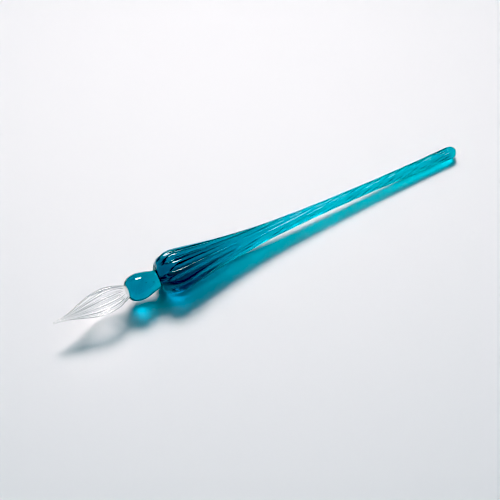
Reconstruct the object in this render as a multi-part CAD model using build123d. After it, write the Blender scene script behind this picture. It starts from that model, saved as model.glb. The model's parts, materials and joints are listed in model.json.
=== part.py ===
"""Glass dip pen: a clear grooved nib, a smooth teal collar and a ribbed teal handle, welded end to end.

Units are millimetres. The pen is drawn along its own axis with the nib's tip at x = 0 and the tail
at x = PEN_LENGTH, and is then laid on the plane z = 0, where it rests on the bulb and on the tail.
"""
from build123d import *
from math import acos, atan2, cos, degrees, exp, pi, radians, sin, sqrt
import os

# lengths along the pen's axis
PEN_LENGTH = 165.0
NIB_LENGTH = 27.4
COLLAR_LENGTH = 11.8
COLLAR_FRONT_LENGTH = 4.4
SHOULDER_LENGTH = 7.1
TAIL_DOME_LENGTH = 2.7

# radii about the pen's axis
TIP_RADIUS = 0.35
NIB_RADIUS = 4.65
WAIST_RADIUS = 2.35
COLLAR_RADIUS = 4.8
NECK_RADIUS = 3.15
BULB_RADIUS = 7.75
SHAFT_RADIUS = 1.9
TAIL_RADIUS = 2.42
TAIL_FLAT_RADIUS = 0.35

# places along the axis, measured from the tip
NIB_WIDEST = 18.8
COLLAR_WIDEST = NIB_LENGTH + COLLAR_FRONT_LENGTH
NECK = NIB_LENGTH + COLLAR_LENGTH
BULB_WIDEST = NECK + SHOULDER_LENGTH
FLARE_START = 120.0
DOME_START = PEN_LENGTH - TAIL_DOME_LENGTH

# slope of the collar's outline where it meets the handle
NECK_SLOPE = -0.2

# the bulb's taper falls as exp(-(distance / TAPER_LENGTH) ** TAPER_POWER)
TAPER_LENGTH = 25.5
TAPER_POWER = 1.25

# ribs of the handle: depth is a share of the radius, twist is in radians per mm of thin shaft
RIB_COUNT = 12
BULB_RIB_DEPTH = 0.14
SHAFT_RIB_DEPTH = 0.07
RIB_TWIST = -0.065
TWIST_POWER = 2.0
RIB_FADE_IN = 7.0
RIB_FADE_OUT = 1.5

# ink grooves of the nib
GROOVE_COUNT = 12
GROOVE_DEPTH = 0.2
GROOVE_TWIST = -0.03
GROOVE_FADE_IN = 5.0
GROOVE_FADE_OUT = 4.0
TIP_GROOVE_SHARE = 0.3
FIRST_GROOVE_ANGLE = 118.0

# spacing of the cross-sections that the glass is drawn through
STATION_STEP = 1.5
ARC_STEPS = 9


def ease(value):
    """Rise smoothly from 0 to 1 as value goes from 0 to 1."""
    limited = min(max(value, 0.0), 1.0)
    return limited * limited * (3.0 - 2.0 * limited)


def evenly(first, last, step):
    """Values from first to last, both included, about one step apart."""
    count = max(round((last - first) / step), 1)
    return [first + (last - first) * index / count for index in range(count + 1)]


def handle_radius(x):
    """Rib crest radius of the tapering handle, from the bulb's widest place to the tail's dome."""
    taper = exp(-(((x - BULB_WIDEST) / TAPER_LENGTH) ** TAPER_POWER))
    flare = max((x - FLARE_START) / (DOME_START - FLARE_START), 0.0) ** 2
    return SHAFT_RADIUS + (BULB_RADIUS - SHAFT_RADIUS) * taper + (TAIL_RADIUS - SHAFT_RADIUS) * flare


def handle_stations():
    """Places (x, radius) down the handle: elliptical shoulder, taper and shaft, elliptical dome."""
    shoulder = [
        (
            BULB_WIDEST - SHOULDER_LENGTH * cos(angle),
            NECK_RADIUS + (BULB_RADIUS - NECK_RADIUS) * sin(angle),
        )
        for angle in evenly(0.0, pi / 2.0, pi / 2.0 / ARC_STEPS)
    ]
    body = [(x, handle_radius(x)) for x in evenly(BULB_WIDEST, DOME_START, STATION_STEP)]
    last_angle = acos(TAIL_FLAT_RADIUS / TAIL_RADIUS)
    dome = [
        (DOME_START + TAIL_DOME_LENGTH * sin(angle), TAIL_RADIUS * cos(angle))
        for angle in evenly(0.0, last_angle, last_angle / ARC_STEPS)
    ]
    return shoulder + body[1:] + dome[1:]


def nib_stations():
    """Places (x, radius) down the nib: a fine point, a leaf-shaped belly and a waist at the collar."""
    outline = Spline(
        (0.0, TIP_RADIUS),
        (4.0, 0.85),
        (10.0, 2.7),
        (NIB_WIDEST, NIB_RADIUS),
        (24.0, 3.8),
        (NIB_LENGTH, WAIST_RADIUS),
    )
    points = [outline.position_at(share) for share in evenly(0.0, 1.0, STATION_STEP / NIB_LENGTH)]
    return [(point.X, point.Y) for point in points]


def twisted_angles(stations, rate, first_angle):
    """Angle of the first crest at each station; glass twists most where it is thinnest."""
    angles = [first_angle]
    for (x, radius), (next_x, next_radius) in zip(stations, stations[1:]):
        thickness = 0.5 * (radius + next_radius) / SHAFT_RADIUS
        angles.append(angles[-1] + rate * (next_x - x) / max(thickness, 1.0) ** TWIST_POWER)
    return angles


def lobed_section(x, crest_radius, crest_angle, depth, count):
    """Closed outline across the pen: one arc for each lobe, over its crest from valley to valley."""
    half_pitch = pi / count
    arcs = []
    for index in range(count):
        middle = crest_angle + 2.0 * half_pitch * index
        polar = (
            (crest_radius * (1.0 - depth), middle - half_pitch),
            (crest_radius, middle),
            (crest_radius * (1.0 - depth), middle + half_pitch),
        )
        points = [(x, radius * cos(angle), radius * sin(angle)) for radius, angle in polar]
        arcs.append(Edge.make_three_point_arc(*points))
    return Wire(arcs)


def lobed_solid(stations, angles, depths, count):
    """Solid glass drawn through a lobed section at each station."""
    sections = [
        lobed_section(x, radius, angle, depth, count)
        for (x, radius), angle, depth in zip(stations, angles, depths)
    ]
    return Solid.make_loft(sections)


def make_nib():
    """Colourless nib; its grooves run from near the point and melt away at the collar."""
    stations = nib_stations()
    first_crest = radians(FIRST_GROOVE_ANGLE) + pi / GROOVE_COUNT
    angles = twisted_angles(stations, GROOVE_TWIST, first_crest)
    depths = []
    for x, _ in stations:
        near_tip = TIP_GROOVE_SHARE + (1.0 - TIP_GROOVE_SHARE) * ease(x / GROOVE_FADE_IN)
        depths.append(GROOVE_DEPTH * near_tip * ease((NIB_LENGTH - x) / GROOVE_FADE_OUT))
    return lobed_solid(stations, angles, depths, GROOVE_COUNT)


def make_collar():
    """Smooth teal knop, turned about the pen's axis.

    A full front shoulder, a quarter of an ellipse, swells from the weld and falls to the neck.
    """
    front = Bezier(
        (NIB_LENGTH, WAIST_RADIUS),
        (NIB_LENGTH, COLLAR_RADIUS),
        (COLLAR_WIDEST, COLLAR_RADIUS),
        weights=[1.0, sqrt(0.5), 1.0],
    )
    reach = (NECK - COLLAR_WIDEST) / 3.0
    back = Bezier(
        (COLLAR_WIDEST, COLLAR_RADIUS),
        (COLLAR_WIDEST + reach, COLLAR_RADIUS),
        (NECK - reach, NECK_RADIUS - NECK_SLOPE * reach),
        (NECK, NECK_RADIUS),
    )
    ends = Polyline((NECK, NECK_RADIUS), (NECK, 0.0), (NIB_LENGTH, 0.0), (NIB_LENGTH, WAIST_RADIUS))
    return revolve(make_face([front, back, ends]), Axis.X)


def make_handle():
    """Teal handle; its ribs start at the neck, twist along the shaft and melt into the tail's dome.

    A valley faces straight down under the bulb, so that the pen rests on two crests and can't roll.
    """
    stations = handle_stations()
    angles = twisted_angles(stations, RIB_TWIST, pi / RIB_COUNT - pi / 2.0)
    depths = []
    for x, radius in stations:
        thickness = min(max((radius - SHAFT_RADIUS) / (BULB_RADIUS - SHAFT_RADIUS), 0.0), 1.0)
        depth = SHAFT_RIB_DEPTH + (BULB_RIB_DEPTH - SHAFT_RIB_DEPTH) * thickness
        depths.append(depth * ease((x - NECK) / RIB_FADE_IN) * ease((DOME_START - x) / RIB_FADE_OUT))
    return lobed_solid(stations, angles, depths, RIB_COUNT)


def resting_tilt():
    """Angle that lays both the bulb's lowest pair of rib crests and the tail on one plane."""
    stations = handle_stations()
    crest_share = cos(pi / RIB_COUNT)
    bulb = [(x, radius * crest_share) for x, radius in stations if x < FLARE_START]
    tail = [(x, radius) for x, radius in stations if x >= FLARE_START]
    tilt = 0.0
    for _ in range(6):
        bulb_x, bulb_radius = max(bulb, key=lambda place: place[0] * sin(tilt) + place[1] * cos(tilt))
        tail_x, tail_radius = max(tail, key=lambda place: place[0] * sin(tilt) + place[1] * cos(tilt))
        tilt = atan2(bulb_radius - tail_radius, tail_x - bulb_x)
    return tilt


def main():
    """Make the three pieces, lay the pen down and write one file for each piece."""
    pieces = {"nib": make_nib(), "collar": make_collar(), "handle": make_handle()}
    tilt = resting_tilt()
    laid = {name: Rot(0.0, degrees(tilt), 0.0) * piece for name, piece in pieces.items()}
    box = Compound(list(laid.values())).bounding_box()
    to_origin = Pos(-box.center().X, -box.center().Y, -box.min.Z)

    os.makedirs("parts", exist_ok=True)
    for name, piece in laid.items():
        export_step(to_origin * piece, f"parts/{name}.step")

    placed = to_origin * Rot(0.0, degrees(tilt), 0.0)
    for label, x in (("tip", 0.0), ("waist", NIB_LENGTH), ("neck", NECK), ("tail", PEN_LENGTH)):
        point = (placed * Pos(x, 0.0, 0.0)).position
        print(f"{label} {point.X:.3f} {point.Y:.3f} {point.Z:.3f}")
    print(f"tilt {degrees(tilt):.3f} size {box.size.X:.3f} {box.size.Y:.3f} {box.size.Z:.3f}")


main()
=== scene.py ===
"""Glass dip pen on a pale surface: the looks of its three pieces of glass, built around the frame."""
import json
from math import cos, pi, radians, sin, sqrt

import bmesh
import bpy
import numpy as np
from mathutils import Matrix, Vector


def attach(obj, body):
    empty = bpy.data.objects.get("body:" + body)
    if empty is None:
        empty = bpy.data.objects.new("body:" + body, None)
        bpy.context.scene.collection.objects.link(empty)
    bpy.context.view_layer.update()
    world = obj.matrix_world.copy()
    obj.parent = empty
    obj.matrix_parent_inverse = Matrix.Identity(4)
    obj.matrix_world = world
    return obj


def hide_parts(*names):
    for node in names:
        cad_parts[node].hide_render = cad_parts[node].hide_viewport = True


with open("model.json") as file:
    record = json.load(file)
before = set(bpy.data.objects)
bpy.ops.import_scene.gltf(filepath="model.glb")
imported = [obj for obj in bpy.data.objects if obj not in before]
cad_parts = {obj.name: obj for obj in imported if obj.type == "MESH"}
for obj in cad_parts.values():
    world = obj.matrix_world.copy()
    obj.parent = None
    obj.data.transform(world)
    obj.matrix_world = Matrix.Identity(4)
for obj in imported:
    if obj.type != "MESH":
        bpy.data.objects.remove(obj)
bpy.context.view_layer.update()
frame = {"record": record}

MM = 0.001

# Lengths along the pen's axis from the tip of the nib, and radii about it, in millimetres.
PEN_LENGTH = 165.0
NIB_LENGTH = 27.4
NIB_WIDEST = 18.8
COLLAR_LENGTH = 11.8
COLLAR_FRONT_LENGTH = 4.4
SHOULDER_LENGTH = 7.1
TAIL_DOME_LENGTH = 2.7
TIP_RADIUS = 0.35
NIB_RADIUS = 4.65
WAIST_RADIUS = 2.35
COLLAR_RADIUS = 4.8
NECK_RADIUS = 3.15
BULB_RADIUS = 7.75
SHAFT_RADIUS = 1.9
TAIL_RADIUS = 2.42
NECK = NIB_LENGTH + COLLAR_LENGTH
BULB_WIDEST = NECK + SHOULDER_LENGTH
FLARE_START = 120.0
DOME_START = PEN_LENGTH - TAIL_DOME_LENGTH
TAPER_LENGTH = 25.5
TAPER_POWER = 1.25
NECK_SLOPE = -0.2
DOME_LAST_ANGLE = 0.46 * pi
WELD_GAP = 0.02

# Ribs of the handle and ink grooves of the nib: depth is a share of the radius.
RIB_COUNT = 12
BULB_RIB_DEPTH = 0.14
SHAFT_RIB_DEPTH = 0.07
VALLEY_ROUNDING = 0.06
RIB_TWIST = -0.065
TWIST_POWER = 2.0
RIB_FADE_IN = 7.0
RIB_FADE_OUT = 1.5
GROOVE_COUNT = 12
GROOVE_DEPTH = 0.2
GROOVE_TWIST = -0.03
GROOVE_FADE_IN = 5.0
GROOVE_FADE_OUT = 4.0
TIP_GROOVE_SHARE = 0.3
FIRST_GROOVE_ANGLE = 118.0

# Marks of handwork. Each slow wave is (waves around, phase, millimetres along per radian, share).
FLUTES_PER_RIB = 3
FLUTE_DEPTH = 0.002
RIB_WANDER = 0.03
WANDER_WAVES = [(2, 1.1, 23.0, 1.0), (3, 0.0, 13.0, 0.6)]
DEPTH_WANDER = 0.15
DEPTH_WAVES = [(1, 0.9, 31.0, 1.0), (3, 0.0, -17.0, 1.0)]

# Gas bubbles caught in the collar: (place along the axis, distance from it, angle in degrees, radius).
BUBBLES = [(33.9, 3.3, 118.0, 0.22), (36.6, 2.7, 133.0, 0.2), (31.6, 2.2, 150.0, 0.12)]
BUBBLE_SUBDIVISIONS = 3

# Glass. Striae are fine ridges drawn out along the ribs, with their depth in millimetres.
GLASS_IOR = 1.5
GLASS_ROUGHNESS = 0.02
FLOW_STRETCH = 60.0
STRIA_SCALE = 14.0
STRIA_DETAIL = 3.0
CLEAR_STRIA_DEPTH = 0.02
CLEAR_ALPHA = 0.8
TEAL_STRIA_DEPTH = 0.03
TEAL_ABSORBED = (0.0, 0.905, 0.936)
TEAL_DENSITY = 1500.0

# Mesh density.
STEPS_PER_LOBE = 30
RING_SPACING = 0.55
NIB_RING_SPACING = 0.33
ARC_RINGS = 26

# Camera and light. Azimuths turn from +X towards +Y, seen from above.
CAMERA_TARGET = Vector((-6.8, -0.4, 0.0)) * MM
CAMERA_DISTANCE = 0.449
CAMERA_AZIMUTH = -119.5
CAMERA_ELEVATION = 54.9
CAMERA_LENS = 90.0
SENSOR_WIDTH = 36.0
CLIP_START = 0.01
LIGHT_AIM_BEYOND = 0.05
BLACK_LEVEL = (0.07, 0.015, 0.015)

# Floor.
FLOOR_HALF = 2.0
FLOOR_COLOUR = (0.86, 0.87, 0.89, 1.0)
FLOOR_ROUGHNESS = 0.7
FLOOR_SPECULAR = 0.2


def ease(value):
    """Rises smoothly from 0 to 1 as value goes from 0 to 1."""
    limited = np.clip(value, 0.0, 1.0)
    return limited * limited * (3.0 - 2.0 * limited)


def smooth_through(places):
    """The natural cubic spline through (x, y) places, as a function of x."""
    x, y = np.array(places, float).T
    gaps = np.diff(x)
    rises = np.diff(y) / gaps
    matrix = np.eye(len(x))
    wanted = np.zeros(len(x))
    for i in range(1, len(x) - 1):
        matrix[i, i - 1:i + 2] = gaps[i - 1], 2.0 * (gaps[i - 1] + gaps[i]), gaps[i]
        wanted[i] = 6.0 * (rises[i] - rises[i - 1])
    bends = np.linalg.solve(matrix, wanted)

    def value(at):
        i = np.clip(np.searchsorted(x, at) - 1, 0, len(gaps) - 1)
        left = (at - x[i]) / gaps[i]
        right = 1.0 - left
        curve = (right**3 - right) * bends[i] + (left**3 - left) * bends[i + 1]
        return right * y[i] + left * y[i + 1] + curve * gaps[i] ** 2 / 6.0

    return value


# ---------------------------------------------------------------- outlines along the pen


def nib_outline():
    """Rings (x, radius) of the nib: a fine point, a leaf-shaped belly and a waist."""
    radius = smooth_through([
        (0.0, TIP_RADIUS),
        (4.0, 0.85),
        (10.0, 2.7),
        (NIB_WIDEST, NIB_RADIUS),
        (24.0, 3.8),
        (NIB_LENGTH, WAIST_RADIUS),
    ])
    x = np.linspace(0.0, NIB_LENGTH - WELD_GAP, int(NIB_LENGTH / NIB_RING_SPACING))
    return x, radius(x)


def collar_outline():
    """Rings (x, radius) of the collar: an elliptical front shoulder that falls to the neck."""
    front = np.linspace(0.0, pi / 2.0, ARC_RINGS)
    front_x = NIB_LENGTH + COLLAR_FRONT_LENGTH * (1.0 - np.cos(front))
    front_radius = WAIST_RADIUS + (COLLAR_RADIUS - WAIST_RADIUS) * np.sin(front)
    share = np.linspace(0.0, 1.0, ARC_RINGS)
    length = NECK - WELD_GAP - front_x[-1]
    back_x = front_x[-1] + length * share
    back_radius = COLLAR_RADIUS + (NECK_RADIUS - COLLAR_RADIUS) * ease(share)
    back_radius += NECK_SLOPE * length * (share**3 - share**2)
    return np.concatenate([front_x, back_x[1:]]), np.concatenate([front_radius, back_radius[1:]])


def handle_outline():
    """Rings (x, radius) of the handle: elliptical shoulder, long taper, thin shaft, domed tail."""
    shoulder = np.linspace(0.0, pi / 2.0, ARC_RINGS)
    shoulder_x = BULB_WIDEST - SHOULDER_LENGTH * np.cos(shoulder)
    shoulder_radius = NECK_RADIUS + (BULB_RADIUS - NECK_RADIUS) * np.sin(shoulder)
    body_x = np.linspace(BULB_WIDEST, DOME_START, int((DOME_START - BULB_WIDEST) / RING_SPACING))
    taper = np.exp(-(((body_x - BULB_WIDEST) / TAPER_LENGTH) ** TAPER_POWER))
    flare = np.clip((body_x - FLARE_START) / (DOME_START - FLARE_START), 0.0, None) ** 2
    body_radius = SHAFT_RADIUS + (BULB_RADIUS - SHAFT_RADIUS) * taper
    body_radius += (TAIL_RADIUS - SHAFT_RADIUS) * flare
    dome = np.linspace(0.0, DOME_LAST_ANGLE, ARC_RINGS)
    dome_x = DOME_START + TAIL_DOME_LENGTH * np.sin(dome)
    dome_radius = TAIL_RADIUS * np.cos(dome)
    x = np.concatenate([shoulder_x, body_x[1:], dome_x[1:]])
    return x, np.concatenate([shoulder_radius, body_radius[1:], dome_radius[1:]])


def twisted(x, radius, rate, first_angle):
    """Angle of the first crest at each ring; glass twists most where it is thinnest."""
    middle = 0.5 * (radius[1:] + radius[:-1])
    steps = rate * np.diff(x) / np.maximum(middle / SHAFT_RADIUS, 1.0) ** TWIST_POWER
    return first_angle + np.concatenate([[0.0], np.cumsum(steps)])


# ---------------------------------------------------------------- meshes


def lobe_shape(across, depth, half_pitch):
    """Radius across one lobe, 1 at its crest: a circular arc down to 1 - depth at each valley.

    The valleys are rounded, as they are on glass that has been polished in a flame.
    """
    width = VALLEY_ROUNDING * half_pitch
    from_valley = half_pitch - np.abs(across)
    eased = np.sqrt(from_valley**2 + width**2) - width
    across = half_pitch - eased * half_pitch / (sqrt(half_pitch**2 + width**2) - width)
    valley = 1.0 - depth
    centre = (1.0 - valley**2) / (2.0 * (1.0 - valley * cos(half_pitch)))
    arc = 1.0 - centre
    return centre * np.cos(across) + np.sqrt(arc**2 - (centre * np.sin(across)) ** 2)


def slow_waves(waves, turns, x):
    """Sum of sine waves around and along a rod, for handwork that is never quite even."""
    return sum(share * np.sin(around * turns + phase + x / reach) for around, phase, reach, share in waves)


def lobed_rings(x, radius, angles, depths, count, flutes=0.0):
    """Points (ring, column, xyz) of a ribbed rod in millimetres; the columns follow the ribs.

    But for the flutes, the crests keep to the radius. The lowest pair, which the pen rests on, hardly
    wanders.
    """
    half_pitch = pi / count
    turns = np.arange(count * STEPS_PER_LOBE) * 2.0 * pi / (count * STEPS_PER_LOBE)
    across = (turns + half_pitch) % (2.0 * half_pitch) - half_pitch
    fluting = np.cos(FLUTES_PER_RIB * pi * across / half_pitch)
    flutes = np.broadcast_to(flutes, x.shape)
    rings = []
    for ring_x, ring_radius, angle, depth, flute in zip(x, radius, angles, depths, flutes):
        uneven = slow_waves(DEPTH_WAVES, turns, ring_x)
        wander = slow_waves(WANDER_WAVES, turns, ring_x) * (0.5 - 0.5 * np.cos(turns + half_pitch))
        lobe = lobe_shape(across, depth, half_pitch)
        reach = ring_radius * (1.0 - (1.0 - lobe) * (1.0 + DEPTH_WANDER * uneven) + flute * fluting)
        turn = angle + turns + RIB_WANDER * wander
        rings.append(np.stack([np.full_like(turn, ring_x), reach * np.cos(turn), reach * np.sin(turn)], 1))
    return np.array(rings)


def to_row_frame(points):
    """Pen coordinates in millimetres (x from the tip along the axis) to the row frame in metres."""
    mounts = {mount["name"]: mount for mount in frame["record"]["mounts"]}
    tip = np.array(mounts["writing_tip"]["pos_m"])
    axis = -np.array(mounts["writing_tip"]["axis"])
    across = np.array([0.0, 1.0, 0.0])
    up = np.cross(axis, across)
    return tip + points * MM @ np.array([axis, across, up])


def closed_rod(name, rings, welded):
    """Mesh of a rod with a flat cap at each end, smooth along its sides and sharp at the caps' rims.

    The attribute "weld" marks the caps that are fused to the next piece, welded[0] the first and
    welded[1] the last. The attribute "flow" holds coordinates that run along the ribs.
    """
    ring_count, columns, _ = rings.shape
    ends = rings[[0, -1]].mean(axis=1)
    points = to_row_frame(np.concatenate([rings.reshape(-1, 3), ends]))
    column = np.arange(columns)
    following = (column + 1) % columns
    faces = []
    for ring in range(ring_count - 1):
        low, high = ring * columns, (ring + 1) * columns
        faces += np.stack([low + column, low + following, high + following, high + column], 1).tolist()
    side_count = len(faces)
    first_centre, last_centre = len(points) - 2, len(points) - 1
    last_ring = (ring_count - 1) * columns
    pairs = list(zip(column.tolist(), following.tolist()))
    faces += [[first_centre, b, a] for a, b in pairs]
    faces += [[last_centre, last_ring + a, last_ring + b] for a, b in pairs]
    mesh = bpy.data.meshes.new(name)
    mesh.from_pydata(points.tolist(), [], faces)
    mesh.polygons.foreach_set("use_smooth", [i < side_count for i in range(len(faces))])
    marks = [0.0] * side_count + [float(welded[0])] * columns + [float(welded[1])] * columns
    mesh.attributes.new("weld", "FLOAT", "FACE").data.foreach_set("value", marks)
    turns = np.tile(column * 2.0 * pi / columns, ring_count)
    along = np.repeat(rings[:, 0, 0], columns) / FLOW_STRETCH
    flow = np.stack([along, np.cos(turns), np.sin(turns)], 1)
    flow = np.concatenate([flow, np.zeros((2, 3))])
    mesh.attributes.new("flow", "FLOAT_VECTOR", "POINT").data.foreach_set("vector", flow.ravel())
    # The edges around each rim, where a cap meets the side, are sharp.
    rims = set(range(columns)) | set(range(last_ring, last_ring + columns))
    for edge in mesh.edges:
        a, b = edge.vertices
        edge.use_edge_sharp = a in rims and b in rims and abs(a - b) in (1, columns - 1)
    mesh.update()
    piece = bpy.data.objects.new(name, mesh)
    bpy.context.scene.collection.objects.link(piece)
    return piece


def add_bubble(mesh, x, from_axis, angle, size):
    """Adds a round gas bubble, whose faces look inwards, away from the glass around it."""
    turn = radians(angle)
    middle = to_row_frame(np.array([x, from_axis * cos(turn), from_axis * sin(turn)]))
    bubble = bmesh.new()
    bubble.from_mesh(mesh)
    place = Matrix.Translation(Vector(middle))
    made = bmesh.ops.create_icosphere(
        bubble, subdivisions=BUBBLE_SUBDIVISIONS, radius=size * MM, matrix=place
    )
    faces = {face for vertex in made["verts"] for face in vertex.link_faces}
    for face in faces:
        face.smooth = True
    bmesh.ops.reverse_faces(bubble, faces=list(faces))
    bubble.to_mesh(mesh)
    bubble.free()


def add_piece(name, rings, welded, node, material):
    """A visible piece that stands for a CAD node, which it hides, and wears the material it is given."""
    piece = closed_rod(name, rings, welded)
    piece.data.materials.append(material)
    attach(piece, "root")
    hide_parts(node)
    return piece


# ---------------------------------------------------------------- materials


def glass(name, stria_depth, alpha=1.0, absorbed=None, density=0.0):
    """Clear or tinted glass with fine striae drawn out along the pen.

    The tint comes from how far light travels through it. An alpha below 1 lightens the shadow.
    A welded cap doesn't bend light, so that two welded pieces look like one.
    """
    material = bpy.data.materials.new(name)
    material.use_nodes = True
    nodes = material.node_tree.nodes
    links = material.node_tree.links
    shader = nodes["Principled BSDF"]
    output = nodes["Material Output"]
    shader.inputs["Base Color"].default_value = (1.0, 1.0, 1.0, 1.0)
    shader.inputs["Transmission Weight"].default_value = 1.0
    shader.inputs["IOR"].default_value = GLASS_IOR
    shader.inputs["Alpha"].default_value = alpha
    flow = nodes.new("ShaderNodeAttribute")
    flow.attribute_name = "flow"
    striae = nodes.new("ShaderNodeTexNoise")
    striae.inputs["Scale"].default_value = STRIA_SCALE
    striae.inputs["Detail"].default_value = STRIA_DETAIL
    bump = nodes.new("ShaderNodeBump")
    bump.inputs["Distance"].default_value = stria_depth * MM
    smear = nodes.new("ShaderNodeMapRange")
    smear.inputs["To Min"].default_value = 0.0
    smear.inputs["To Max"].default_value = GLASS_ROUGHNESS
    links.new(flow.outputs["Vector"], striae.inputs["Vector"])
    links.new(striae.outputs["Fac"], bump.inputs["Height"])
    links.new(bump.outputs["Normal"], shader.inputs["Normal"])
    links.new(striae.outputs["Fac"], smear.inputs["Value"])
    links.new(smear.outputs["Result"], shader.inputs["Roughness"])
    weld = nodes.new("ShaderNodeAttribute")
    weld.attribute_name = "weld"
    bend = nodes.new("ShaderNodeMapRange")
    bend.inputs["To Min"].default_value = GLASS_IOR
    bend.inputs["To Max"].default_value = 1.0
    links.new(weld.outputs["Fac"], bend.inputs["Value"])
    links.new(bend.outputs["Result"], shader.inputs["IOR"])
    if absorbed is not None:
        volume = nodes.new("ShaderNodeVolumeAbsorption")
        volume.inputs["Color"].default_value = (*absorbed, 1.0)
        volume.inputs["Density"].default_value = density
        links.new(volume.outputs["Volume"], output.inputs["Volume"])
    return material


def floor_material():
    """Matt white sheet."""
    material = bpy.data.materials.new("floor_white")
    material.use_nodes = True
    shader = material.node_tree.nodes["Principled BSDF"]
    shader.inputs["Base Color"].default_value = FLOOR_COLOUR
    shader.inputs["Roughness"].default_value = FLOOR_ROUGHNESS
    shader.inputs["Specular IOR Level"].default_value = FLOOR_SPECULAR
    return material


# ---------------------------------------------------------------- pieces


def make_nib(material):
    """Clear nib, whose grooves run from near the point and melt away at the collar."""
    x, radius = nib_outline()
    angles = twisted(x, radius, GROOVE_TWIST, radians(FIRST_GROOVE_ANGLE) + pi / GROOVE_COUNT)
    near_tip = TIP_GROOVE_SHARE + (1.0 - TIP_GROOVE_SHARE) * ease(x / GROOVE_FADE_IN)
    depths = GROOVE_DEPTH * near_tip * ease((NIB_LENGTH - x) / GROOVE_FADE_OUT)
    rings = lobed_rings(x, radius, angles, depths, GROOVE_COUNT)
    add_piece("glass_nib", rings, (False, True), "nib", material)


def make_collar(material):
    """Smooth teal collar with its gas bubbles."""
    x, radius = collar_outline()
    level = np.zeros_like(x)
    rings = lobed_rings(x, radius, level, level, RIB_COUNT)
    piece = add_piece("glass_collar", rings, (True, True), "collar", material)
    for bubble in BUBBLES:
        add_bubble(piece.data, *bubble)


def make_handle(material):
    """Ribbed teal handle; a valley faces straight down under the bulb, so the pen rests on two crests."""
    x, radius = handle_outline()
    angles = twisted(x, radius, RIB_TWIST, pi / RIB_COUNT - pi / 2.0)
    thickness = np.clip((radius - SHAFT_RADIUS) / (BULB_RADIUS - SHAFT_RADIUS), 0.0, 1.0)
    depths = SHAFT_RIB_DEPTH + (BULB_RIB_DEPTH - SHAFT_RIB_DEPTH) * thickness
    depths *= ease((x - NECK) / RIB_FADE_IN) * ease((DOME_START - x) / RIB_FADE_OUT)
    flutes = FLUTE_DEPTH * ease(2.0 * thickness) * ease((x - NECK) / RIB_FADE_IN)
    rings = lobed_rings(x, radius, angles, depths, RIB_COUNT, flutes)
    add_piece("glass_handle", rings, (True, False), "handle", material)


# ---------------------------------------------------------------- stage


def direction(azimuth, elevation):
    """Unit vector at an azimuth and an elevation in degrees."""
    turn, rise = radians(azimuth), radians(elevation)
    return Vector((cos(turn) * cos(rise), sin(turn) * cos(rise), sin(rise)))


def aim(thing, target):
    """Points an object's -Z axis at a place."""
    thing.rotation_euler = (target - thing.location).to_track_quat("-Z", "Y").to_euler()


def add_camera():
    """Camera that looks down on the pen from the side of its nib."""
    data = bpy.data.cameras.new("camera")
    data.lens = CAMERA_LENS
    data.sensor_width = SENSOR_WIDTH
    data.clip_start = CLIP_START
    camera = bpy.data.objects.new("camera", data)
    camera.location = CAMERA_TARGET + direction(CAMERA_AZIMUTH, CAMERA_ELEVATION) * CAMERA_DISTANCE
    aim(camera, CAMERA_TARGET)
    bpy.context.scene.collection.objects.link(camera)
    bpy.context.scene.camera = camera


def area_light(name, location, target, width, height, power):
    """A rectangular softbox at a place, facing another; returns its light data."""
    data = bpy.data.lights.new(name, "AREA")
    data.shape = "RECTANGLE"
    data.size = width
    data.size_y = height
    data.energy = power
    light = bpy.data.objects.new(name, data)
    light.location = location
    aim(light, target)
    bpy.context.scene.collection.objects.link(light)
    return data


def add_key(azimuth, elevation, distance, width, height, spread, power, colour):
    """The main softbox, across the pen from the camera; it is aimed at the floor just beyond the pen."""
    location = direction(azimuth, elevation) * distance
    target = direction(azimuth, 0.0) * LIGHT_AIM_BEYOND
    data = area_light("key_softbox", location, target, width, height, power)
    data.spread = radians(spread)
    data.color = colour


def add_outer_washes(count, from_middle, above, width, height, power):
    """Softboxes that face away from the pen and light only the floor around it, out to the horizon."""
    for index in range(count):
        outward = direction(360.0 * index / count, 0.0)
        location = outward * from_middle + Vector((0.0, 0.0, above))
        area_light(f"outer_wash_{index}", location, location + outward, width, height, power)


def add_floor(material):
    """Large flat sheet under the pen."""
    mesh = bpy.data.meshes.new("floor")
    corners = [(-1, -1), (1, -1), (1, 1), (-1, 1)]
    mesh.from_pydata([(x * FLOOR_HALF, y * FLOOR_HALF, 0.0) for x, y in corners], [], [[0, 1, 2, 3]])
    mesh.materials.append(material)
    floor = bpy.data.objects.new("floor", mesh)
    bpy.context.scene.collection.objects.link(floor)


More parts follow.
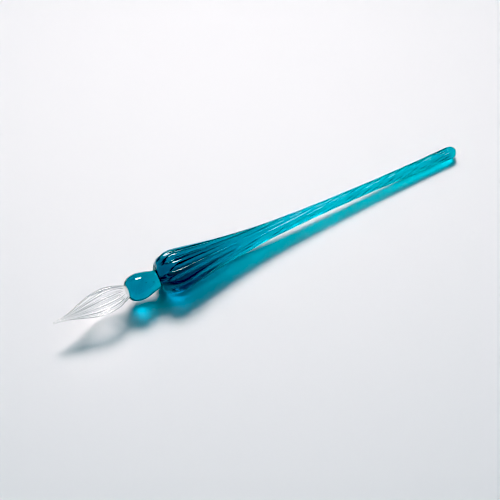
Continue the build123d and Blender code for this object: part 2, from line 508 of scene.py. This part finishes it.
def add_world(colour, horizon, ceiling, dark_below, bright_above):
    """A dim ceiling: dark down to the horizon, so that the edges of the glass draw dark lines."""
    world = bpy.data.worlds.new("studio")
    world.use_nodes = True
    nodes = world.node_tree.nodes
    links = world.node_tree.links
    place = nodes.new("ShaderNodeTexCoord")
    parts = nodes.new("ShaderNodeSeparateXYZ")
    rise = nodes.new("ShaderNodeMapRange")
    rise.interpolation_type = "SMOOTHSTEP"
    rise.inputs["From Min"].default_value = sin(radians(dark_below))
    rise.inputs["From Max"].default_value = sin(radians(bright_above))
    rise.inputs["To Min"].default_value = horizon
    rise.inputs["To Max"].default_value = ceiling
    background = nodes["Background"]
    background.inputs["Color"].default_value = (*colour, 1.0)
    links.new(place.outputs["Generated"], parts.inputs["Vector"])
    links.new(parts.outputs["Z"], rise.inputs["Value"])
    links.new(rise.outputs["Result"], background.inputs["Strength"])
    bpy.context.scene.world = world


clear_glass = glass("clear_glass", CLEAR_STRIA_DEPTH, alpha=CLEAR_ALPHA)
teal_glass = glass("teal_glass", TEAL_STRIA_DEPTH, absorbed=TEAL_ABSORBED, density=TEAL_DENSITY)
make_nib(clear_glass)
make_collar(teal_glass)
make_handle(teal_glass)

add_floor(floor_material())
add_camera()
add_world(colour=(0.48, 0.80, 1.0), horizon=0.03, ceiling=0.55, dark_below=42.0, bright_above=65.0)
add_key(
    azimuth=CAMERA_AZIMUTH + 188.0,
    elevation=50.0,
    distance=1.1,
    width=0.58,
    height=0.34,
    spread=40.0,
    power=1.11,
    colour=(1.0, 0.90, 0.865),
)
add_outer_washes(count=6, from_middle=0.22, above=0.7, width=1.0, height=0.4, power=5.0)

# The black level deepens the darks, red most of all.
view = bpy.context.scene.view_settings
view.view_transform = "Standard"
view.use_curve_mapping = True
view.curve_mapping.black_level = BLACK_LEVEL
view.curve_mapping.update()

# Light bent through the glass stays unclipped and nearly sharp, and may pass many surfaces.
cycles = bpy.context.scene.cycles
cycles.sample_clamp_indirect = 0.0
cycles.blur_glossy = 0.32
cycles.filter_width = 0.9
cycles.max_bounces = 24
cycles.transmission_bounces = 24
cycles.glossy_bounces = 12
cycles.transparent_max_bounces = 12
